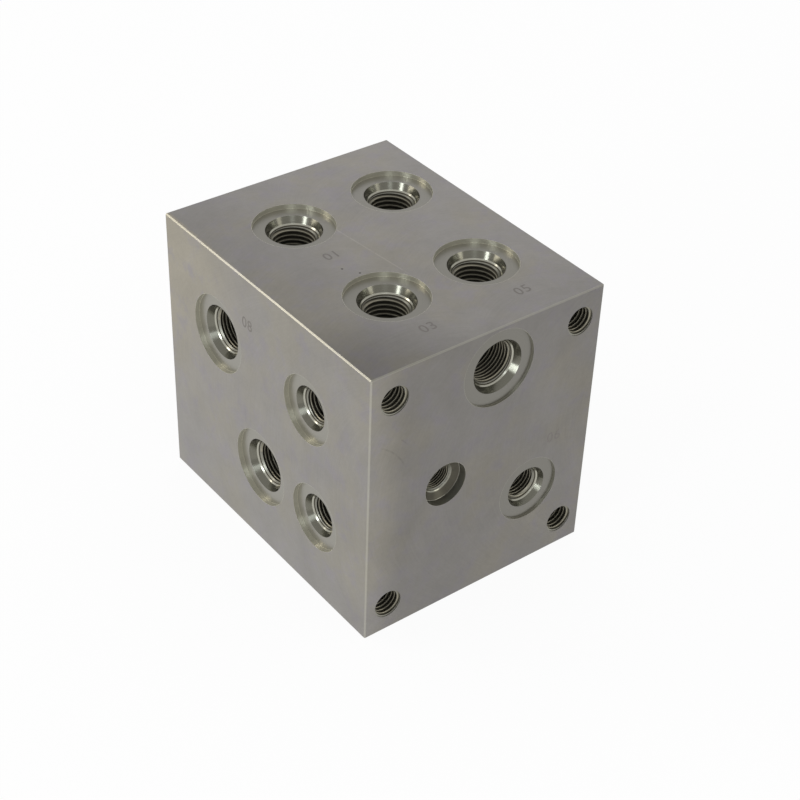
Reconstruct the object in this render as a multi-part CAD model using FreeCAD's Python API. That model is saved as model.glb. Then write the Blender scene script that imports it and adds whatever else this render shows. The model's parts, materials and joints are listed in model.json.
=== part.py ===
import FreeCAD, Part
import math
import os

# Hydraulic manifold block: one piece of milled steel with threaded ports on three faces
# and drilled galleries that cross inside it. Millimetres. The origin is the middle of the
# underside, +Z is up, +Y runs from the front face to the back, -X is the left face.
# A place on a face is given from the block's left, front or bottom, whichever it lies on.
# Threads are left plain at their major diameter.

# Block
block_width = 106.0
block_depth = 133.0
block_height = 120.0
edge_chamfer = 0.5

# Large ports: an M18 thread, of 2 mm pitch on the top face and 1.5 mm on the left and front faces.
# The tap drill suits the pitch, and runs on as the gallery.
large_spotface_dia = 32.4
large_mouth_dia = 22.2
large_major_dia = 18.0
coarse_tap_drill_dia = 16.0
fine_tap_drill_dia = 16.5

# Small ports, with an M14 x 1.5 thread
small_spotface_dia = 28.0
small_mouth_dia = 17.8
small_major_dia = 14.0
small_tap_drill_dia = 12.5

# Shared by the ports: the seat is the coned mouth, and the lead is the chamfer from there to the thread
spotface_depth = 2.0
front_spotface_depth = 1.0
seat_angle = 25.0
thread_lead = 0.8
large_thread_length = 16.0
small_thread_length = 14.0
drill_point_angle = 118.0

# Pilot port: a deep plain mouth with an M12 x 1 thread in its coned floor
pilot_mouth_dia = 18.7
pilot_mouth_depth = 3.6
pilot_major_dia = 12.0
pilot_tap_drill_dia = 11.0
pilot_thread_length = 14.0

# Four M12 mounting holes near the corners of the front face
mount_spacing_across = 85.0
mount_spacing_up = 95.0
mount_major_dia = 12.0
mount_thread_length = 24.0

# Lines that the ports stand on: from the left face, from the front face, and up
left_line = 35.5
middle_line = 57.4
right_front_line = 77.0
right_back_line = 82.0
front_row = 38.5
back_row = 97.5
low_back_row = 69.5
low_front_row = 33.0
low_level = 37.0
pilot_level = 58.7
high_level = 84.0
top_front_level = 102.0

# Inclined gallery behind the upper front port
incline_gallery_dia = 10.0
incline_entry_rise = 4.0

# How far a cutter starts outside the face, and past the bore that it meets
cutter_overrun = 1.0
crossing_overrun = 2.0

drill_point_slope = math.tan(math.radians(90.0 - drill_point_angle / 2.0))
seat_slope = 1.0 / math.tan(math.radians(seat_angle))

INTO_LEFT_FACE = FreeCAD.Vector(1, 0, 0)
INTO_FRONT_FACE = FreeCAD.Vector(0, 1, 0)
INTO_TOP_FACE = FreeCAD.Vector(0, 0, -1)


def on_left(from_front, up):
    """A point on the left face."""
    return FreeCAD.Vector(-block_width / 2.0, from_front - block_depth / 2.0, up)


def on_front(from_left, up):
    """A point on the front face."""
    return FreeCAD.Vector(from_left - block_width / 2.0, -block_depth / 2.0, up)


def on_top(from_left, from_front):
    """A point on the top face."""
    return FreeCAD.Vector(from_left - block_width / 2.0, from_front - block_depth / 2.0, block_height)


def drilled_solid(outline, mouth, inward):
    """The tool that leaves a stepped hole: its outline of radius and depth, turned about the hole's axis."""
    points = [FreeCAD.Vector(radius, 0, depth) for radius, depth in outline]
    edges = [Part.LineSegment(a, b).toShape() for a, b in zip(points, points[1:] + points[:1])]
    turned = Part.Face(Part.Wire(edges)).revolve(FreeCAD.Vector(0, 0, 0), FreeCAD.Vector(0, 0, 1), 360)
    turned.Placement = FreeCAD.Placement(mouth, FreeCAD.Rotation(FreeCAD.Vector(0, 0, 1), inward))
    return Part.Solid(turned) if turned.ShapeType != "Solid" else turned


def drill_point(radius, depth):
    """Outline of a drill's cone, from its full radius to its tip."""
    return [(radius, depth), (0.0, depth + radius * drill_point_slope)]


def port_outline(spotface_dia, spotface, mouth_dia, major_dia, thread_length):
    """Outline of a port: its spotface, the seat, the lead and the thread."""
    spot = spotface_dia / 2.0
    mouth = mouth_dia / 2.0
    major = major_dia / 2.0
    seat_end = spotface + (mouth - major - thread_lead) * seat_slope
    thread_start = seat_end + thread_lead
    return [
        (0.0, -cutter_overrun),
        (spot, -cutter_overrun),
        (spot, spotface),
        (mouth, spotface),
        (major + thread_lead, seat_end),
        (major, thread_start),
        (major, thread_start + thread_length),
    ]


def tap_drill_stage(threaded, tap_drill_dia, depth):
    """Outline of the tap drill, which runs on from the thread as a gallery down to a depth."""
    major, thread_end = threaded[-1]
    minor = tap_drill_dia / 2.0
    return threaded + [(minor, thread_end + major - minor)] + drill_point(minor, depth)


def large_outline(spotface):
    """Outline of a large port down to the end of its thread."""
    return port_outline(large_spotface_dia, spotface, large_mouth_dia, large_major_dia, large_thread_length)


def small_outline(spotface):
    """Outline of a small port down to the end of its thread."""
    return port_outline(small_spotface_dia, spotface, small_mouth_dia, small_major_dia, small_thread_length)


def top_port(place, gallery_depth):
    """A large port in the top face, whose gallery ends in a drill point."""
    outline = tap_drill_stage(large_outline(spotface_depth), coarse_tap_drill_dia, gallery_depth)
    return drilled_solid(outline, place, INTO_TOP_FACE)


def large_left_port(place, gallery_depth):
    """A large port in the left face."""
    outline = tap_drill_stage(large_outline(spotface_depth), fine_tap_drill_dia, gallery_depth)
    return drilled_solid(outline, place, INTO_LEFT_FACE)


def small_port(place, inward, spotface, gallery_depth):
    """A small port."""
    outline = tap_drill_stage(small_outline(spotface), small_tap_drill_dia, gallery_depth)
    return drilled_solid(outline, place, inward)


def top_ports():
    """Four ports whose galleries end at or just past the cross drillings that they feed."""
    to_high = block_height - high_level
    past_pilot = block_height - pilot_level + pilot_tap_drill_dia / 2.0 + crossing_overrun
    to_low = block_height - low_level
    return [
        top_port(on_top(left_line, back_row), to_high),
        top_port(on_top(right_back_line, back_row), to_high),
        top_port(on_top(left_line, front_row), past_pilot),
        top_port(on_top(right_front_line, front_row), to_low),
    ]


def left_ports():
    """Two large and two small ports, whose galleries run across under the top ports."""
    return [
        large_left_port(on_left(back_row, high_level), right_back_line),
        small_port(on_left(front_row, high_level), INTO_LEFT_FACE, spotface_depth, left_line),
        large_left_port(on_left(low_back_row, low_level), right_front_line),
        small_port(on_left(low_front_row, low_level), INTO_LEFT_FACE, spotface_depth, right_front_line),
    ]


def inclined_gallery(thread_end):
    """A drill that enters over the upper front port's lower lip and falls to the back cross drilling."""
    entry = on_front(middle_line, top_front_level + incline_entry_rise)
    fall = top_front_level + incline_entry_rise - high_level
    whole_run = FreeCAD.Vector(0, back_row, -fall)
    start = entry + whole_run * (thread_end / back_row)
    travel = whole_run * (1.0 - thread_end / back_row)
    return Part.makeCylinder(incline_gallery_dia / 2.0, travel.Length, start, travel)


def upper_front_port():
    """A large port that ends at its drill's point and is carried on by the inclined gallery."""
    threaded = large_outline(front_spotface_depth)
    major, thread_end = threaded[-1]
    outline = threaded[:-1] + drill_point(major, thread_end)
    tool = drilled_solid(outline, on_front(middle_line, top_front_level), INTO_FRONT_FACE)
    return tool.fuse(inclined_gallery(thread_end))


def lower_front_port():
    """A small port whose gallery meets the low cross drillings."""
    place = on_front(right_front_line, low_level)
    return small_port(place, INTO_FRONT_FACE, front_spotface_depth, low_back_row)


def pilot_port():
    """A plain mouth with a coned floor, and a thin gallery to the left front drilling."""
    mouth = pilot_mouth_dia / 2.0
    major = pilot_major_dia / 2.0
    thread_start = pilot_mouth_depth + (mouth - major) * drill_point_slope
    threaded = [
        (0.0, -cutter_overrun),
        (mouth, -cutter_overrun),
        (mouth, pilot_mouth_depth),
        (major, thread_start),
        (major, thread_start + pilot_thread_length),
    ]
    outline = tap_drill_stage(threaded, pilot_tap_drill_dia, front_row)
    return drilled_solid(outline, on_front(left_line, pilot_level), INTO_FRONT_FACE)


def mounting_holes():
    """Four blind tapped holes on a rectangle about the middle of the front face."""
    major = mount_major_dia / 2.0
    outline = [(0.0, -cutter_overrun), (major, -cutter_overrun)] + drill_point(major, mount_thread_length)
    holes = []
    for across in (-mount_spacing_across / 2.0, mount_spacing_across / 2.0):
        for up in (-mount_spacing_up / 2.0, mount_spacing_up / 2.0):
            place = on_front(block_width / 2.0 + across, block_height / 2.0 + up)
            holes.append(drilled_solid(outline, place, INTO_FRONT_FACE))
    return holes


def milled_block():
    """The plain block with its twelve edges broken."""
    corner = FreeCAD.Vector(-block_width / 2.0, -block_depth / 2.0, 0)
    block = Part.makeBox(block_width, block_depth, block_height, corner)
    return block.makeChamfer(edge_chamfer, block.Edges)


def manifold_block():
    """The milled block less every port, gallery and mounting hole."""
    tools = top_ports() + left_ports() + [upper_front_port(), lower_front_port(), pilot_port()]
    block = milled_block().cut(tools + mounting_holes())
    return block.Solids[0]


os.makedirs("parts", exist_ok=True)
manifold_block().exportStep("parts/manifold_block.step")
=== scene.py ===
import json
import math

import bmesh
import bpy
from bpy.props import FloatProperty, FloatVectorProperty, IntProperty, PointerProperty
from mathutils import Matrix, Vector


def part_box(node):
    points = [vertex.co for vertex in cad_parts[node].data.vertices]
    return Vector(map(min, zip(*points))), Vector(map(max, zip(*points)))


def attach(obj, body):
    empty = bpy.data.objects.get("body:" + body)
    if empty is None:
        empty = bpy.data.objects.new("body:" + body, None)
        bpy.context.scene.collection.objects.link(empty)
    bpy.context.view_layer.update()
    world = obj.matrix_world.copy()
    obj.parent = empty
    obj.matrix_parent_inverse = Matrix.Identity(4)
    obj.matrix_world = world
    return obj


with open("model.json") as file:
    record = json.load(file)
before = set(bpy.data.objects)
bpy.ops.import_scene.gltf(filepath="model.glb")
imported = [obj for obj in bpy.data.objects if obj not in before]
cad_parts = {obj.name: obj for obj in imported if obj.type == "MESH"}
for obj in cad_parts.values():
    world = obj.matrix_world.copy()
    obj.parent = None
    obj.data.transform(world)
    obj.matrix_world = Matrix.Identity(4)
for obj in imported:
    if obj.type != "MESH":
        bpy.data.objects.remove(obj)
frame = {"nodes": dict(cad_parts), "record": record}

bl_info = {
    "name": "Manifold block",
    "version": (1, 0, 0),
    "blender": (4, 5, 0),
    "location": "View3D > Sidebar > Manifold",
    "description": "Steel finish, threads, port numbers and stage for a drilled manifold block",
    "category": "Object",
}

MM = 0.001
BLOCK = "manifold_block"
BLOCK_LOW, BLOCK_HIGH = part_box(BLOCK)
MOUNTS = {mount["name"]: mount for mount in frame["record"]["mounts"]}
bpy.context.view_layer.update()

# The ports' forms in the solid, in millimetres: face, names, spotface radius and depth, mouth radius
PORT_FORMS = (
    ("top", ("top_port_back_left", "top_port_back_right"), 16.2, 2.0, 11.1),
    ("top", ("top_port_front_left", "top_port_front_right"), 16.2, 2.0, 11.1),
    ("left", ("left_port_high_back", "left_port_low_back"), 16.2, 2.0, 11.1),
    ("left", ("left_port_high_front", "left_port_low_front"), 14.0, 2.0, 8.9),
    ("front", ("front_port_high",), 16.2, 1.0, 11.1),
    ("front", ("front_port_low",), 14.0, 1.0, 8.9),
    ("front", ("pilot_port",), 9.35, 3.6, 9.35),
)

# Width of the chamfer into a port's thread, in millimetres
LEAD = 0.8

# Painted light and shade on each face's spotface floors and walls: the share of the full brightness they
# have, lighter floors on the left face and darker floors and walls on the front
FACE_LIGHT = {"top": (0.88, 1.0), "left": (1.06, 1.0), "front": (0.68, 0.6)}

# Depths between which the block's skin and the look of its broken edges fade out, in millimetres
SKIN = (0.25, 0.45)
BROKEN_EDGE = (0.50, 0.60)

# Radii between which the look of a mounting hole fades out, in millimetres
HOLE_EDGE = (6.05, 6.2)

# Noises in the block's steel: shift in millimetres, scale, detail, roughness and distortion of each
STEEL_NOISES = {
    "broken": (0.0, 0.35, 3.0, 0.6, 0.0),
    "cloud": (0.0, 0.030, 3.0, 0.55, 0.0),
    "blotch": (40.0, 0.11, 5.0, 0.66, 0.0),
    "grain": (0.0, 1.3, 3.0, 0.7, 0.0),
    "speck": (13.0, 0.45, 2.0, 0.6, 0.0),
    "mottle": (90.0, 0.055, 4.0, 0.6, 0.4),
    "dirt": (0.0, 0.5, 3.0, 0.6, 0.0),
}

# The face mill: the middles of its two passes on the top face, in millimetres, and the squares of the
# radii of its arcs on the top and on the side faces, in square millimetres
FIRST_PASS, SECOND_PASS = -29.0, 25.0
TOP_ARC, SIDE_ARC = 1500.0, 4600.0

# The seam between the two passes: how far left it lies, in millimetres, and how far it slants
SEAM_SHIFT = 4.0
SEAM_SLANT = 0.1

# Two small pits on the top face, and the point that the painted shade on its near corner spreads from, in
# millimetres
PITS = ((-20.3, -4.2), (-16.5, -10.1))
PIT_COLOUR = (0.045, 0.04, 0.036)
NEAR_CORNER = (-56.0, -70.0)

# Two faint arcs on the front face: their centre and their radii, in millimetres
SCUFF_CENTRE = (-62.0, 66.0)
LONG_SCUFF, SHORT_SCUFF = 27.0, 32.5

# How metallic bare steel is, and the dark stamped strokes
BARE_METAL = 0.9
STAMPED_METAL = 0.7

# A metric thread's ridge, in pitches: its height, and its width at the crest and at the root
RIDGE_HEIGHT = 0.5413
CREST = 0.25
ROOT = 0.88

# How far a ridge's root reaches into the steel around it, in millimetres, and how much wider it gets
# there on each side, in pitches
BITE = 0.12
BURIED_ROOT = 0.04

# How far a ridge stays behind the chamfer and the face, in millimetres
CLEARANCE = 0.05

# The sharpest fold that is still shaded smooth on a ridge, in degrees
SMOOTH_FOLD = 22.0

# Height of a digit as a share of its font's size, its spacing, and how much its strokes are thickened
DIGIT_SHARE = 0.7
DIGIT_SPACING = 1.1
STROKE_GROWTH = 0.012

# How far the numbers stand off their face, in millimetres
NUMBER_GAP = 0.01

# Each window's setting and name, its azimuth and elevation in degrees, its distance, width and height
# in metres, and its colour
WINDOWS = (
    ("window_power", "cream_window", 146.0, 8.0, 1.3, 0.66, 0.32, (1.0, 0.95, 0.85)),
    ("high_power", "high_window", 134.0, 30.0, 1.4, 0.40, 0.34, (1.0, 0.96, 0.88)),
    ("pane_power", "tall_pane", 191.0, 16.0, 2.0, 0.36, 0.90, (0.88, 0.95, 1.0)),
    ("low_power", "low_window", 296.0, 10.0, 1.6, 0.45, 0.40, (1.0, 0.99, 0.92)),
    ("blue_power", "blue_pane", 241.0, 38.0, 1.2, 0.30, 0.60, (0.84, 0.92, 1.0)),
    ("back_power", "back_window", 51.0, 16.0, 1.5, 1.2, 0.60, (0.96, 0.95, 1.0)),
)

WHITE = (1.0, 1.0, 1.0)

# Share of plain white in the floor that the camera and the steel see
FLOOR_WHITE = 0.93

# The camera's place in metres, where its right and its line of sight point, and its sensor in millimetres
CAMERA_PLACE = (-0.33430, -0.43632, 0.45964)
CAMERA_RIGHT = (0.79659, -0.60373, 0.03082)
CAMERA_FORWARD = (0.49857, 0.62730, -0.59826)
CAMERA_SENSOR = 36.0


# Settings that a user would change

class BlockFinish(bpy.types.PropertyGroup):
    """Colours and surface of the milled steel."""

    steel_colour: FloatVectorProperty(
        name="Steel", description="Colour of the milled faces", subtype="COLOR", size=3,
        min=0.0, max=1.0, default=(0.261, 0.249, 0.233))
    warm_colour: FloatVectorProperty(
        name="Warm stain", description="Colour of the yellowish patches", subtype="COLOR", size=3,
        min=0.0, max=1.0, default=(0.280, 0.260, 0.212))
    # Painted warm light towards the upper back corner of the left face
    warm_light_colour: FloatVectorProperty(
        name="Warm light", description="Colour towards the upper back corner of the left face",
        subtype="COLOR", size=3, min=0.0, max=1.0, default=(0.315, 0.288, 0.232))
    cool_colour: FloatVectorProperty(
        name="Cool stain", description="Colour of the purplish patches", subtype="COLOR", size=3,
        min=0.0, max=1.0, default=(0.246, 0.230, 0.242))
    turned_colour: FloatVectorProperty(
        name="Turned steel", description="Colour of the spotface floors", subtype="COLOR", size=3,
        min=0.0, max=1.0, default=(0.29, 0.28, 0.245))
    # Darker than the faces: painted shade on the coned seats
    seat_colour: FloatVectorProperty(
        name="Seat steel", description="Colour of the coned seats", subtype="COLOR", size=3,
        min=0.0, max=1.0, default=(0.175, 0.170, 0.138))
    # Partly painted highlight: the spotface walls, thread leads, hole rims and broken edges
    bright_and_highlight_colour: FloatVectorProperty(
        name="Bright steel and highlights", description="Colour of the spotface walls, thread leads and broken edges",
        subtype="COLOR", size=3, min=0.0, max=1.0, default=(0.42, 0.41, 0.345))
    # Oil and painted shade in the thread grooves, bores and galleries
    oil_and_shade_colour: FloatVectorProperty(
        name="Oil and shade in bores", description="Colour of the thread grooves and galleries", subtype="COLOR", size=3,
        min=0.0, max=1.0, default=(0.060, 0.054, 0.040))
    crest_colour: FloatVectorProperty(
        name="Thread crest", description="Colour of the thread crests", subtype="COLOR", size=3,
        min=0.0, max=1.0, default=(0.33, 0.309, 0.24))
    roughness: FloatProperty(
        name="Roughness", description="Roughness of the milled faces", subtype="FACTOR",
        min=0.0, max=1.0, default=0.35)
    mark_height: FloatProperty(
        name="Milling marks", description="Height of the marks that the milling cutter leaves",
        subtype="DISTANCE", unit="LENGTH", min=0.0, default=0.004 * MM)


class ThreadSizes(bpy.types.PropertyGroup):
    """Pitches of the threads and how finely their ridges are made."""

    coarse_pitch: FloatProperty(
        name="Top ports", description="Pitch of the thread in the top ports",
        subtype="DISTANCE", unit="LENGTH", min=0.0, default=2.0 * MM)
    fine_pitch: FloatProperty(
        name="Side ports", description="Pitch of the fine thread in the left and front ports",
        subtype="DISTANCE", unit="LENGTH", min=0.0, default=1.5 * MM)
    pilot_pitch: FloatProperty(
        name="Pilot port", description="Pitch of the thread in the pilot port",
        subtype="DISTANCE", unit="LENGTH", min=0.0, default=1.0 * MM)
    mounting_pitch: FloatProperty(
        name="Mounting holes", description="Pitch of the thread in the mounting holes",
        subtype="DISTANCE", unit="LENGTH", min=0.0, default=1.75 * MM)
    mounting_length: FloatProperty(
        name="Mounting thread", description="Length of the thread in the mounting holes",
        subtype="DISTANCE", unit="LENGTH", min=0.0, default=24.0 * MM)
    steps_per_turn: IntProperty(
        name="Steps per turn", description="Segments in one turn of a thread", min=12, default=56)


class PortNumbers(bpy.types.PropertyGroup):
    """Size and colour of the stamped port numbers."""

    height: FloatProperty(
        name="Height", description="Height of the stamped numbers",
        subtype="DISTANCE", unit="LENGTH", min=0.0, default=4.6 * MM)
    colour: FloatVectorProperty(
        name="Colour", description="Colour at the bottom of the stamped strokes", subtype="COLOR", size=3,
        min=0.0, max=1.0, default=(0.190, 0.175, 0.162))


class StudioStage(bpy.types.PropertyGroup):
    """Floor, light and lens of the picture."""

    lens: FloatProperty(
        name="Lens", description="Focal length of the camera on a 36 mm sensor",
        subtype="DISTANCE_CAMERA", unit="CAMERA", min=1.0, default=77.496)
    floor_colour: FloatVectorProperty(
        name="Floor", description="Colour of the floor", subtype="COLOR", size=3,
        min=0.0, max=1.0, default=(0.90, 0.90, 0.90))
    floor_width: FloatProperty(
        name="Floor width", description="Width of the floor",
        subtype="DISTANCE", unit="LENGTH", min=0.1, default=24.0)
    room_light: FloatProperty(
        name="Room light", description="Strength of the even light from all sides", min=0.0, default=0.74)
    window_power: FloatProperty(
        name="Cream window", description="Power of the warm window behind on the left", subtype="POWER",
        unit="POWER", min=0.0, default=2.4)
    high_power: FloatProperty(
        name="High window", description="Power of the high window behind on the left", subtype="POWER",
        unit="POWER", min=0.0, default=2.0)
    pane_power: FloatProperty(
        name="Tall pane", description="Power of the narrow cool window on the left", subtype="POWER",
        unit="POWER", min=0.0, default=9.0)
    low_power: FloatProperty(
        name="Low window", description="Power of the low window on the right in front", subtype="POWER",
        unit="POWER", min=0.0, default=1.2)
    blue_power: FloatProperty(
        name="Blue pane", description="Power of the bluish window in front on the left", subtype="POWER",
        unit="POWER", min=0.0, default=1.2)
    back_power: FloatProperty(
        name="Back window", description="Power of the low window behind on the right", subtype="POWER",
        unit="POWER", min=0.0, default=1.6)


# Shader maths

class Signal:
    """A number, colour or vector on its way through a material, with Python's own operators."""

    def __init__(self, sheet, socket):
        self.sheet = sheet
        self.socket = socket

    def _combine(self, operation, *values):
        vectors = any(isinstance(value, Signal) and value.socket.type == "VECTOR" for value in values)
        kind = "ShaderNodeVectorMath" if vectors else "ShaderNodeMath"
        return self.sheet.add(kind, {"operation": operation}, dict(enumerate(values)))

    def __add__(self, other):
        return self._combine("ADD", self, other)

    def __radd__(self, other):
        return self._combine("ADD", other, self)

    def __sub__(self, other):
        return self._combine("SUBTRACT", self, other)

    def __rsub__(self, other):
        return self._combine("SUBTRACT", other, self)

    def __mul__(self, other):
        return self._combine("MULTIPLY", self, other)

    def __rmul__(self, other):
        return self._combine("MULTIPLY", other, self)

    def __pow__(self, other):
        return self._combine("POWER", self, other)

    def __abs__(self):
        return self._combine("ABSOLUTE", self)

    def least(self, other):
        return self._combine("MINIMUM", self, other)

    def most(self, other):
        return self._combine("MAXIMUM", self, other)

    def root(self):
        return self._combine("SQRT", self)

    def rise(self, low, high):
        """0 below low, 1 above high, and smooth between them."""
        settings = {"interpolation_type": "SMOOTHSTEP", "clamp": True}
        return self.sheet.add("ShaderNodeMapRange", settings, {0: self, 1: low, 2: high, 3: 0.0, 4: 1.0})

    def fall(self, low, high):
        """1 below low, 0 above high, and smooth between them."""
        return 1.0 - self.rise(low, high)


class Sheet:
    """The node sheet of a material or of the world."""

    def __init__(self, owner):
        owner.use_nodes = True
        self.tree = owner.node_tree
        self.tree.nodes.clear()

    def node(self, kind, settings=None, values=None):
        """Adds a node: its settings first, then the values or links of its sockets."""
        node = self.tree.nodes.new(kind)
        for name, value in (settings or {}).items():
            setattr(node, name, value)
        for name, value in (values or {}).items():
            socket = node.inputs[name]
            if isinstance(value, Signal):
                self.tree.links.new(value.socket, socket)
            elif socket.type == "RGBA":
                socket.default_value = (*value[:3], 1.0)
            elif socket.type == "VECTOR" and isinstance(value, (int, float)):
                socket.default_value = (value, value, value)
            else:
                socket.default_value = value
        return node

    def add(self, kind, settings=None, values=None, output=0):
        """Adds a node and gives one of its outputs."""
        return Signal(self, self.node(kind, settings, values).outputs[output])

    def place(self):
        """The point on the piece, in millimetres."""
        return self.add("ShaderNodeTexCoord", output="Object") * (1.0 / MM)

    def split(self, vector):
        """The three numbers of a vector."""
        node = self.node("ShaderNodeSeparateXYZ", values={0: vector})
        return [Signal(self, socket) for socket in node.outputs]

    def join(self, x, y, z):
        """A vector of three numbers."""
        return self.add("ShaderNodeCombineXYZ", values={0: x, 1: y, 2: z})

    def blend(self, share, first, second):
        """A colour between two, by a share from 0 to 1."""
        settings = {"data_type": "RGBA", "blend_type": "MIX", "clamp_factor": True}
        return self.add("ShaderNodeMix", settings, {0: share, 6: first, 7: second}, output=2)

    def tint(self, colour, brightness):
        """A colour made lighter or darker by a number near 1."""
        return self.add("ShaderNodeVectorMath", {"operation": "SCALE"}, {0: colour, "Scale": brightness})

    def noise(self, vector, scale, detail, roughness=0.5, distortion=0.0):
        values = {"Vector": vector, "Scale": scale, "Detail": detail}
        values.update({"Roughness": roughness, "Distortion": distortion})
        return self.add("ShaderNodeTexNoise", {"noise_dimensions": "3D"}, values)

    def bump(self, height, distance):
        return self.add("ShaderNodeBump", None, {"Height": height, "Distance": distance, "Strength": 1.0})

    def shader(self, colour, metallic, roughness, normal):
        """The Principled shader on the material's output."""
        values = {"Base Color": colour, "Metallic": metallic, "Roughness": roughness, "Normal": normal}
        self.finish(self.add("ShaderNodeBsdfPrincipled", None, values))

    def finish(self, surface, output="ShaderNodeOutputMaterial"):
        """Puts a surface or a background on the sheet's output."""
        self.node(output, None, {"Surface": surface})


# Where the ports are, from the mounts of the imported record

def port_axis(name):
    """Middle of a port's thread, its outward direction, and the thread's radius and length, in metres."""
    mount = MOUNTS[name]
    sizes = mount["dims"]
    return Vector(mount["pos_m"]), Vector(mount["axis"]), sizes["r_mm"] * MM, sizes["length_mm"] * MM


def mounting_hole_mouths():
    """Centres of the four mounting holes on the front face, in metres."""
    mount = MOUNTS["mounting_holes"]
    across = mount["dims"]["spacing_x_mm"] * MM / 2.0
    up = mount["dims"]["spacing_y_mm"] * MM / 2.0
    middle = Vector(mount["pos_m"])
    return {
        f"{level}_{side}": middle + Vector((x, 0.0, z))
        for level, z in (("low", -up), ("high", up)) for side, x in (("left", -across), ("right", across))
    }


def thread_start(name, outward):
    """Depth below the face at which a port's thread starts, in millimetres."""
    middle, _, _, length = port_axis(name)
    corner = BLOCK_HIGH if sum(outward) > 0.0 else BLOCK_LOW
    return (abs((corner - middle).dot(outward)) - length / 2.0) / MM


def centres_on(names, first, second):
    """Port centres as pairs of millimetres, by two of the three axes."""
    places = [port_axis(name)[0] for name in names]
    return [(place[first] / MM, place[second] / MM) for place in places]


def flat_distance(a, b, centres):
    """Distance in the plane of a face to the nearest of some centres, in millimetres."""
    nearest = None
    for centre_a, centre_b in centres:
        squared = (a - centre_a) ** 2.0 + (b - centre_b) ** 2.0
        nearest = squared if nearest is None else nearest.least(squared)
    return nearest.root()


# Steel

class BlockZones:
    """Where a point of the block lies, in millimetres, and masks of its faces and broken edges."""

    def __init__(self, sheet):
        self.place = sheet.place()
        self.x, self.y, self.z = sheet.split(self.place)
        in_x = BLOCK_HIGH.x / MM - abs(self.x)
        in_y = BLOCK_HIGH.y / MM - abs(self.y)
        in_z = (BLOCK_HIGH.z / MM - self.z).least(self.z)
        self.depth = in_x.least(in_y).least(in_z)
        self.outside = self.depth.fall(*SKIN)
        self.inside = 1.0 - self.outside
        next_face = in_x.most(in_y).least(in_y.most(in_z)).least(in_x.most(in_z))
        self.edge = next_face.fall(*BROKEN_EDGE)
        self.on_top = in_z.fall(*SKIN)
        self.on_side = in_x.fall(*SKIN)
        self.on_front = in_y.fall(*SKIN)


def port_masks(zones):
    """The radius from each port's axis within its spotface, and masks of the ports' forms by name."""
    x, y, z = zones.x, zones.y, zones.z
    faces = {
        "top": (x, y, 0, 1, BLOCK_HIGH.z / MM - z, Vector((0.0, 0.0, 1.0))),
        "left": (y, z, 1, 2, x - BLOCK_LOW.x / MM, Vector((-1.0, 0.0, 0.0))),
        "front": (x, z, 0, 2, y - BLOCK_LOW.y / MM, Vector((0.0, -1.0, 0.0))),
    }
    ring = x * 0.0
    masks = {name: x * 0.0 for name in ("spotface", "shade", "wall", "seat", "lead", "oily", "bored")}
    for face, names, spot, floor, mouth in PORT_FORMS:
        a, b, first, second, depth, outward = faces[face]
        radius = flat_distance(a, b, centres_on(names, first, second))
        thread = MOUNTS[names[0]]["dims"]["r_mm"]
        start = thread_start(names[0], outward)
        # Painted light and shade: each face's spotface floors and walls are made lighter or darker
        floor_light, wall_light = FACE_LIGHT[face]
        inside = radius.fall(spot + 0.02, spot + 0.06) * depth.fall(start + 0.4, start + 0.8)
        coned = inside * radius.fall(mouth - 0.02, mouth + 0.06) * depth.rise(floor + 0.02, floor + 0.1)
        wall = inside * radius.rise(spot - 0.12, spot - 0.04) * depth.fall(floor + 0.1, floor + 0.2)
        ring = ring + radius * inside
        found = {
            "spotface": inside,
            "shade": inside * floor_light,
            "wall": wall * wall_light,
            "seat": coned,
            "lead": coned * radius.fall(thread + LEAD - 0.05, thread + LEAD + 0.05),
            "bored": radius.fall(thread + 0.28, thread + 0.38) * depth.rise(start - 0.38, start - 0.28),
        }
        if mouth == spot:
            # The pilot port has no spotface, and its coned floor gets oil and painted shade
            found["oily"] = coned * radius.rise(thread + 0.3, thread + 1.0)
        for name, mask in found.items():
            masks[name] = masks[name].most(mask)
    return ring, masks


def cutter_arcs(sheet, zones, pass_line):
    """Arcs that the face mill leaves: two passes on the top face, and one on each side face."""
    second_pass = pass_line.rise(-0.2, 0.2)
    pass_middle = FIRST_PASS + second_pass * (SECOND_PASS - FIRST_PASS)
    reach = (TOP_ARC - (zones.x - pass_middle) ** 2.0).most(1.0).root()
    along = zones.x * 0.05 + second_pass * 40.0
    top = sheet.noise(sheet.join((zones.y - reach) * 1.4, along, 0.0), 1.0, 3.0, 0.65)
    rise = (SIDE_ARC - (zones.z - 58.0) ** 2.0).most(1.0).root()
    side = sheet.noise(sheet.join((zones.y - rise) * 1.3, zones.z * 0.04, 7.0), 1.0, 3.0, 0.65)
    front = sheet.noise(sheet.join((zones.x + rise) * 1.3, zones.z * 0.04, 19.0), 1.0, 3.0, 0.65)
    return top * zones.on_top + side * zones.on_side + front * zones.on_front


def milled_brightness(zones, noise, arcs, seam):
    """How light the milled faces are: marks, grain and stains, with painted shade on the top's near corner,
    on its left and on the front, and painted light on the left face.
    """
    brightness = 0.565 + arcs * 0.18 + noise["grain"] * 0.13 + noise["speck"] * 0.10
    brightness = brightness + noise["blotch"] * 0.20 + noise["mottle"] * 0.28 + seam * 0.20
    # Painted shade and light: the top darker at its near corner and its left, the front darker, the left face
    # lighter
    near_corner = flat_distance(zones.x, zones.y, [NEAR_CORNER]).fall(12.0, 52.0) * zones.on_top
    left_shade = zones.on_top * zones.x.fall(-53.0, -5.0)
    front_shade = zones.on_front * zones.x.rise(-53.0, -35.0)
    shade = 1.0 - near_corner * 0.25 - left_shade * 0.10 - front_shade * 0.24 + zones.on_side * 0.05
    return brightness * shade


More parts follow.
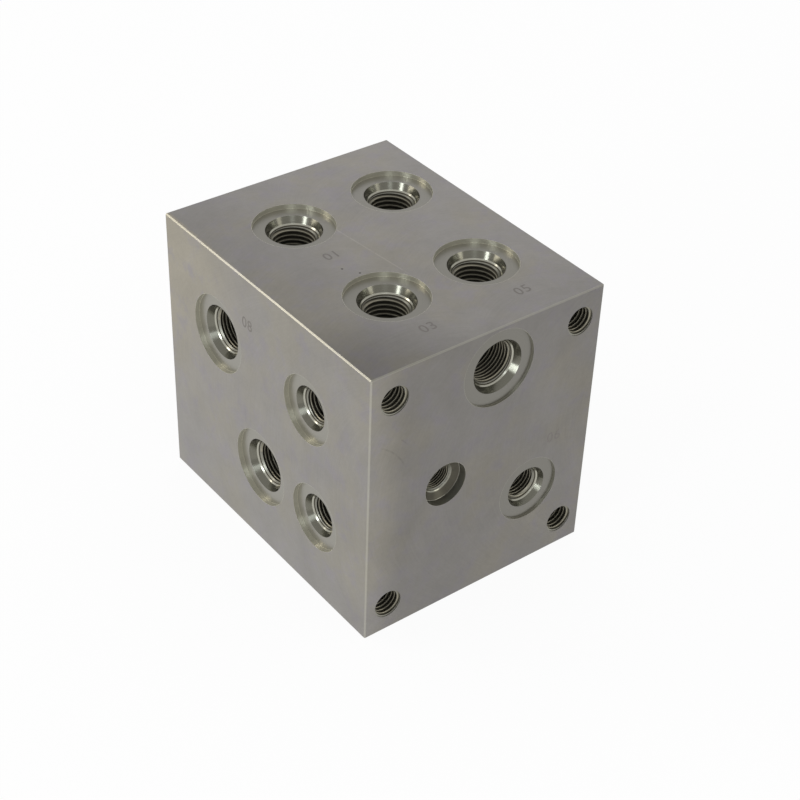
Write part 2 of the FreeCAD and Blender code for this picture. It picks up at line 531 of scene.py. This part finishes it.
def front_scuff(zones, noise):
    """Two faint arcs that a tool has left below the upper left mounting hole."""
    x, y, z = zones.x, zones.y, zones.z
    sweep = flat_distance(x, z, [SCUFF_CENTRE])
    short = abs(sweep - SHORT_SCUFF).fall(0.1, 0.4) * z.rise(84.0, 88.0)
    scuff = abs(sweep - LONG_SCUFF).fall(0.1, 0.5).most(short)
    scuff = scuff * z.rise(74.0, 80.0) * z.fall(88.0, 93.0) * x.rise(-49.0, -45.0) * y.fall(-66.4, -66.3)
    return scuff * noise["broken"].rise(0.3, 0.6)


def milled_steel():
    """Milled block steel: cutter marks, stains, painted light and painted shade outside, bright turned
    spotface floors, coned seats darkened with painted shade, painted highlights on walls, rims and edges, oil
    and painted shade in the bores.
    """
    look = bpy.context.scene.block_finish
    material = bpy.data.materials.new("milled_steel")
    sheet = Sheet(material)
    zones = BlockZones(sheet)
    x, y, z = zones.x, zones.y, zones.z
    noise = {
        name: sheet.noise(zones.place + shift, *shape) for name, (shift, *shape) in STEEL_NOISES.items()
    }
    ring, masks = port_masks(zones)
    mouths = [(mouth.x / MM, mouth.z / MM) for mouth in mounting_hole_mouths().values()]
    in_hole = flat_distance(x, z, mouths).fall(*HOLE_EDGE)
    # Painted shade with oil: the bores past each thread's start, the tapped mounting holes and all deeper
    # than 7 mm turn dark
    tapped = in_hole * (y - BLOCK_LOW.y / MM).rise(1.6, 2.0)
    bored = (masks["bored"].most(tapped) * zones.inside).most(zones.depth.rise(7.0, 8.0))

    # A light seam where two cutter passes meet on the top face, and two small pits beside it
    pass_line = x + SEAM_SHIFT + SEAM_SLANT * y
    arcs = cutter_arcs(sheet, zones, pass_line)
    top_skin = z.rise(119.0, 119.5)
    seam = abs(pass_line).fall(0.10, 0.42) * y.rise(-24.0, -15.0) * y.fall(34.0, 44.0) * top_skin
    seam = seam * noise["broken"].rise(0.30, 0.55)
    pit = flat_distance(x, y, PITS).fall(0.25, 0.60) * top_skin

    # Warm and cool stains on the milled faces, and painted warm light towards the upper back corner of the
    # left face
    warm_light = x.fall(-52.0, -51.0) * y.rise(-10.0, 66.0) * z.rise(20.0, 110.0)
    colour = sheet.blend(noise["cloud"].rise(0.42, 0.66) * 0.6, look.steel_colour, look.warm_colour)
    colour = sheet.blend(warm_light, colour, look.warm_light_colour)
    colour = sheet.blend(noise["blotch"].rise(0.47, 0.70) * 0.75, colour, look.cool_colour)
    brightness = milled_brightness(zones, noise, arcs, seam) - front_scuff(zones, noise) * 0.12
    colour = sheet.tint(colour, brightness)

    # Turned rings on the spotface floors with each face's painted light and shade, and the coned seats
    # darkened with painted shade
    turned_zone = masks["spotface"] * zones.inside
    rings = sheet.noise(sheet.join(ring * 2.6, 0.0, 0.0), 1.0, 2.0, 0.6)
    turned = sheet.tint(look.turned_colour, masks["shade"] * (0.86 + rings * 0.22))
    colour = sheet.blend(turned_zone * 0.85, colour, turned)
    polish_and_highlight = 0.88 + rings * 0.16 + noise["speck"] * 0.06
    colour = sheet.blend(masks["seat"], colour, sheet.tint(look.seat_colour, polish_and_highlight))

    # Painted highlights on the spotface walls, thread leads, hole rims and broken edges, over brighter cut
    # steel on the walls, leads and edges
    rim = in_hole * zones.inside
    lead = masks["lead"] * (1.0 - masks["oily"] * 0.6)
    edge = zones.edge * zones.outside
    bright = masks["wall"].most(lead).most(rim).most(edge * 0.28)
    # Painted highlight: the walls, hole rims and broken edges half again as bright
    polish_and_highlight = polish_and_highlight * (1.0 + masks["wall"].most(rim).most(edge) * 0.5)
    colour = sheet.blend(bright, colour, sheet.tint(look.bright_and_highlight_colour, polish_and_highlight))

    # Oil, dirt and painted shade in the bores, and the pits painted dark
    oily = bored.most(masks["oily"] * 0.8)
    colour = sheet.blend(oily, colour, sheet.tint(look.oil_and_shade_colour, 0.7 + noise["dirt"] * 0.7))
    colour = sheet.blend(pit, colour, PIT_COLOUR)

    roughness = look.roughness - 0.05 + noise["blotch"] * 0.08 + arcs * 0.05
    roughness = roughness + turned_zone * (0.30 - look.roughness) - masks["seat"] * 0.10 + oily * 0.22
    relief = (arcs * 0.7 + noise["grain"] * 0.3) * zones.outside + rings * turned_zone * 0.8 - pit * 12.0
    sheet.shader(colour, BARE_METAL, roughness, sheet.bump(relief, look.mark_height))
    return material


def thread_steel():
    """Threads: oil and painted shade in the grooves, greyer crests that darken inwards with painted shade,
    painted highlights on the bright starts.
    """
    look = bpy.context.scene.block_finish
    material = bpy.data.materials.new("thread_steel")
    sheet = Sheet(material)
    place = sheet.place()
    groove, inward, lead = (
        sheet.add("ShaderNodeAttribute", {"attribute_name": name}, output="Fac")
        for name in ("groove", "inward", "lead")
    )
    smear = sheet.noise(place, 0.6, 3.0, 0.6)
    # Painted shade: the crests fade to the groove colour deeper into the hole, and the grooves are dark with
    # painted shade and oil
    clean_and_lit = groove.fall(0.05, 0.45) * (0.70 + smear * 0.5) * (1.0 - inward * 0.45)
    colour = sheet.blend(clean_and_lit, look.oil_and_shade_colour, look.crest_colour)
    # Painted highlight on the thread starts, over brighter cut steel
    colour = sheet.blend(lead.rise(0.4, 0.9), colour, sheet.tint(look.bright_and_highlight_colour, 0.44 + smear * 0.3))
    normal = sheet.bump(sheet.noise(place, 3.0, 2.0), 0.004 * MM)
    sheet.shader(colour, BARE_METAL, 0.52 - clean_and_lit * 0.16, normal)
    return material


def stamped_steel():
    """The bottom of the stamped strokes, dark and patchy."""
    look = bpy.context.scene.port_numbers
    material = bpy.data.materials.new("stamped_steel")
    sheet = Sheet(material)
    patch = sheet.noise(sheet.place(), 1.6, 3.0, 0.7)
    colour = sheet.tint(look.colour, 0.6 + patch * 0.9)
    sheet.shader(colour, STAMPED_METAL, 0.5 + patch * 0.15, sheet.bump(patch, 0.02 * MM))
    return material


# Pieces

def add_piece(name, bm, matrix, material):
    """Makes a mesh object at the origin from a bmesh, with its place in the mesh, riding on the block."""
    mesh = bpy.data.meshes.new(name)
    bm.transform(matrix)
    bm.to_mesh(mesh)
    bm.free()
    piece = bpy.data.objects.new(name, mesh)
    bpy.context.scene.collection.objects.link(piece)
    mesh.materials.append(material)
    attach(piece, "root")


# Threads

def thread_ridge(radius, pitch, lead, length, steps):
    """The ridge of a right-hand thread about Z, from a lead below zero. A 45 degree cone cuts its start."""
    bm = bmesh.new()
    side, groove, inward, bright = (
        bm.verts.layers.float.new(name) for name in ("side", "groove", "inward", "lead")
    )
    height = RIDGE_HEIGHT * pitch
    flank = (ROOT - CREST) / 2.0 * pitch / height
    bite, clearance = BITE * MM, CLEARANCE * MM
    outline = [
        (radius + bite, -ROOT / 2.0 - BURIED_ROOT), (radius, -ROOT / 2.0), (radius - height, -CREST / 2.0),
        (radius - height, CREST / 2.0), (radius, ROOT / 2.0), (radius + bite, ROOT / 2.0 + BURIED_ROOT),
    ]
    corners = [bm.verts.new((r, 0.0, share * pitch - lead - length)) for r, share in outline]
    for corner, sign in zip(corners, (0.0, 0.0, -1.0, 1.0, 0.0, 0.0)):
        corner[side] = sign
    edges = [bm.edges.new(pair) for pair in zip(corners, corners[1:] + corners[:1])]
    count = round((length / pitch + 0.5) * steps)
    bmesh.ops.spin(
        bm, geom=corners + edges, cent=(0.0, 0.0, 0.0), axis=(0.0, 0.0, 1.0), dvec=(0.0, 0.0, pitch / steps),
        angle=2.0 * math.pi * count / steps, steps=count, use_merge=False, use_duplicate=False)
    bmesh.ops.holes_fill(bm, edges=[edge for edge in bm.edges if edge.is_boundary], sides=0)
    for vert in bm.verts:
        depth = -vert.co.z - lead
        r = vert.co.xy.length
        vert[groove] = min(max((r - radius + height) / height, 0.0), 1.0) * min(max(depth / height, 0.0), 1.0)
        # How deep into the hole a point lies, for the painted shade on the crests
        vert[inward] = min(max(depth / length, 0.0), 1.0)
        if vert[side] and r < radius - depth:
            # The cone cuts this corner of the crest back, so it slides down its flank
            lean = vert[side] * flank
            cut = min((radius - depth + lean * (height - radius)) / (1.0 - lean), radius + clearance)
            vert.co.z += lean * (cut - radius + height)
            vert.co.xy *= cut / r
            vert[groove] = 0.0
            vert[bright] = 1.0
        # Nothing of the ridge stands proud of the chamfer or of the face
        depth, r = -vert.co.z - lead, vert.co.xy.length
        if r < radius - depth + clearance and depth < 0.0:
            vert.co.xy *= (radius - depth + clearance) / r
        vert.co.z = min(vert.co.z, -clearance)
    bmesh.ops.recalc_face_normals(bm, faces=bm.faces)
    for face in bm.faces:
        face.smooth = True
    for edge in bm.edges:
        edge.smooth = edge.is_manifold and edge.calc_face_angle() < math.radians(SMOOTH_FOLD)
    return bm


def facing(outward, mouth):
    """The matrix that turns Z to a hole's outward direction and moves zero to its mouth."""
    turn = Vector((0.0, 0.0, 1.0)).rotation_difference(outward).to_matrix()
    return Matrix.Translation(mouth) @ turn.to_4x4()


class BLOCK_OT_cut_threads(bpy.types.Operator):
    """Put the thread ridges into every port and mounting hole"""

    bl_idname = "block.cut_threads"
    bl_label = "Cut threads"

    def execute(self, context):
        sizes = context.scene.thread_sizes
        steps = sizes.steps_per_turn
        material = thread_steel()
        pitches = {"top": sizes.coarse_pitch, "pilot": sizes.pilot_pitch}
        for name, mount in MOUNTS.items():
            if mount["kind"] != "threaded_hole":
                continue
            middle, outward, radius, length = port_axis(name)
            pitch = pitches.get(name.split("_")[0], sizes.fine_pitch)
            ridge = thread_ridge(radius, pitch, LEAD * MM, length - pitch, steps)
            mouth = middle + outward * (length / 2.0 + LEAD * MM)
            add_piece(f"thread_{name}", ridge, facing(outward, mouth), material)
        radius = MOUNTS["mounting_holes"]["dims"]["hole_r_mm"] * MM
        outward = Vector(MOUNTS["mounting_holes"]["axis"])
        pitch = sizes.mounting_pitch
        for name, mouth in mounting_hole_mouths().items():
            ridge = thread_ridge(radius, pitch, 0.0, sizes.mounting_length - pitch, steps)
            add_piece(f"thread_mounting_hole_{name}", ridge, facing(outward, mouth), material)
        return {"FINISHED"}


# Steel finish

class BLOCK_OT_finish_steel(bpy.types.Operator):
    """Give the block its milled and turned steel"""

    bl_idname = "block.finish_steel"
    bl_label = "Finish steel"

    def execute(self, context):
        block = frame["nodes"][BLOCK]
        material = milled_steel()
        if not block.material_slots:
            block.data.materials.append(None)
        for slot in block.material_slots:
            slot.material = material
        return {"FINISHED"}


# Port numbers

def number_mesh(text, height):
    """A number as a thin flat mesh, centred on zero in the XY plane."""
    curve = bpy.data.curves.new("number", "FONT")
    curve.body = text
    curve.size = height / DIGIT_SHARE
    curve.space_character = DIGIT_SPACING
    curve.offset = STROKE_GROWTH * height
    curve.align_x = "CENTER"
    curve.align_y = "CENTER"
    curve.resolution_u = 4
    holder = bpy.data.objects.new("number", curve)
    bm = bmesh.new()
    bm.from_mesh(bpy.data.meshes.new_from_object(holder))
    bpy.data.objects.remove(holder)
    bmesh.ops.remove_doubles(bm, verts=bm.verts, dist=0.001 * MM)
    return bm


def on_face(place, right, up):
    """The matrix that lays XY on a face, given where right and up point."""
    right, up = Vector(right), Vector(up)
    out = right.cross(up)
    turn = Matrix((right, up, out)).transposed().to_4x4()
    return Matrix.Translation(Vector(place) + out * NUMBER_GAP * MM) @ turn


class BLOCK_OT_stamp_numbers(bpy.types.Operator):
    """Stamp a plain number beside some of the ports"""

    bl_idname = "block.stamp_numbers"
    bl_label = "Stamp numbers"

    def execute(self, context):
        height = context.scene.port_numbers.height
        material = stamped_steel()
        top, front, left = BLOCK_HIGH.z, BLOCK_LOW.y, BLOCK_LOW.x
        marks = {
            "01": ((-18.0 * MM, 5.5 * MM, top), (1, 0, 0), (0, 1, 0)),
            "03": ((-17.5 * MM, -52.0 * MM, top), (1, 0, 0), (0, 1, 0)),
            "05": ((25.5 * MM, -52.5 * MM, top), (1, 0, 0), (0, 1, 0)),
            "06": ((35.0 * MM, front, 57.5 * MM), (1, 0, 0), (0, 0, 1)),
            "08": ((left, 10.0 * MM, 100.0 * MM), (0, -1, 0), (0, 0, 1)),
        }
        for text, (place, right, up) in marks.items():
            add_piece(f"number_{text}", number_mesh(text, height), on_face(place, right, up), material)
        return {"FINISHED"}


# Stage

def add_floor(width, colour):
    """Pale floor that the camera and the steel see almost white, still with the block's shadow on it."""
    bm = bmesh.new()
    bmesh.ops.create_grid(bm, x_segments=1, y_segments=1, size=width / 2.0)
    mesh = bpy.data.meshes.new("floor")
    bm.to_mesh(mesh)
    bm.free()
    floor = bpy.data.objects.new("floor", mesh)
    bpy.context.scene.collection.objects.link(floor)
    material = bpy.data.materials.new("floor")
    mesh.materials.append(material)
    sheet = Sheet(material)
    diffuse = sheet.add("ShaderNodeBsdfDiffuse", None, {"Color": colour})
    white = sheet.add("ShaderNodeEmission", None, {"Color": WHITE, "Strength": 1.0})
    path = sheet.node("ShaderNodeLightPath").outputs
    camera, glossy, through = (
        Signal(sheet, path[name]) for name in ("Is Camera Ray", "Is Glossy Ray", "Is Transmission Ray")
    )
    seen = (camera + glossy + through).least(1.0) * FLOOR_WHITE
    sheet.finish(sheet.add("ShaderNodeMixShader", None, {0: seen, 1: diffuse, 2: white}))


def light_room(scene, strength):
    """Even white light from all sides."""
    world = scene.world or bpy.data.worlds.new("room")
    scene.world = world
    sheet = Sheet(world)
    light = sheet.add("ShaderNodeBackground", None, {"Color": WHITE, "Strength": strength})
    sheet.finish(light, "ShaderNodeOutputWorld")


def add_lamp(name, azimuth, elevation, distance, width, height, colour, power):
    """A soft rectangular lamp that looks at the block from a direction in degrees."""
    lamp = bpy.data.lights.new(name, "AREA")
    lamp.shape = "RECTANGLE"
    lamp.size = width
    lamp.size_y = height
    lamp.energy = power
    lamp.color = colour
    turn, lift = math.radians(azimuth), math.radians(elevation)
    out = Vector((math.cos(turn) * math.cos(lift), math.sin(turn) * math.cos(lift), math.sin(lift)))
    holder = bpy.data.objects.new(name, lamp)
    holder.location = Vector((0.0, 0.0, BLOCK_HIGH.z / 2.0)) + out * distance
    holder.rotation_euler = out.to_track_quat("Z", "Y").to_euler()
    bpy.context.scene.collection.objects.link(holder)


def add_camera(scene, lens):
    """The camera at the photograph's viewing angle."""
    camera = bpy.data.cameras.new("camera")
    camera.lens = lens
    camera.sensor_width = CAMERA_SENSOR
    camera.clip_start = 0.01
    camera.clip_end = 50.0
    holder = bpy.data.objects.new("camera", camera)
    right = Vector(CAMERA_RIGHT).normalized()
    forward = Vector(CAMERA_FORWARD)
    forward = (forward - right * forward.dot(right)).normalized()
    turn = Matrix((right, right.cross(forward), -forward)).transposed().to_4x4()
    holder.matrix_world = Matrix.Translation(CAMERA_PLACE) @ turn
    scene.collection.objects.link(holder)
    scene.camera = holder


class BLOCK_OT_set_stage(bpy.types.Operator):
    """Put up the floor, the light and the camera"""

    bl_idname = "block.set_stage"
    bl_label = "Set stage"

    def execute(self, context):
        stage = context.scene.studio_stage
        add_floor(stage.floor_width, stage.floor_colour)
        light_room(context.scene, stage.room_light)
        for power, *window in WINDOWS:
            add_lamp(*window, getattr(stage, power))
        add_camera(context.scene, stage.lens)
        context.scene.view_settings.view_transform = "Standard"
        return {"FINISHED"}


class BLOCK_PT_sidebar(bpy.types.Panel):
    """Lists the steps that dress the block"""

    bl_label = "Manifold block"
    bl_idname = "BLOCK_PT_sidebar"
    bl_space_type = "VIEW_3D"
    bl_region_type = "UI"
    bl_category = "Manifold"

    def draw(self, context):
        for group, operator in zip(GROUPS, OPERATORS):
            box = self.layout.box()
            settings = getattr(context.scene, group)
            for name in settings.__annotations__:
                box.prop(settings, name)
            box.operator(operator.bl_idname)


# Each group of settings, and in the same order the operator that uses it
GROUPS = {
    "block_finish": BlockFinish,
    "thread_sizes": ThreadSizes,
    "port_numbers": PortNumbers,
    "studio_stage": StudioStage,
}
OPERATORS = (BLOCK_OT_finish_steel, BLOCK_OT_cut_threads, BLOCK_OT_stamp_numbers, BLOCK_OT_set_stage)


def register():
    for group in GROUPS.values():
        bpy.utils.register_class(group)
    for name, group in GROUPS.items():
        setattr(bpy.types.Scene, name, PointerProperty(type=group))
    for operator in OPERATORS:
        bpy.utils.register_class(operator)
    bpy.utils.register_class(BLOCK_PT_sidebar)


def unregister():
    bpy.utils.unregister_class(BLOCK_PT_sidebar)
    for operator in reversed(OPERATORS):
        bpy.utils.unregister_class(operator)
    for name in GROUPS:
        delattr(bpy.types.Scene, name)
    for group in reversed(GROUPS.values()):
        bpy.utils.unregister_class(group)


def main():
    register()
    bpy.ops.block.set_stage()
    bpy.ops.block.finish_steel()
    bpy.ops.block.cut_threads()
    bpy.ops.block.stamp_numbers()


if __name__ == "__main__":
    main()
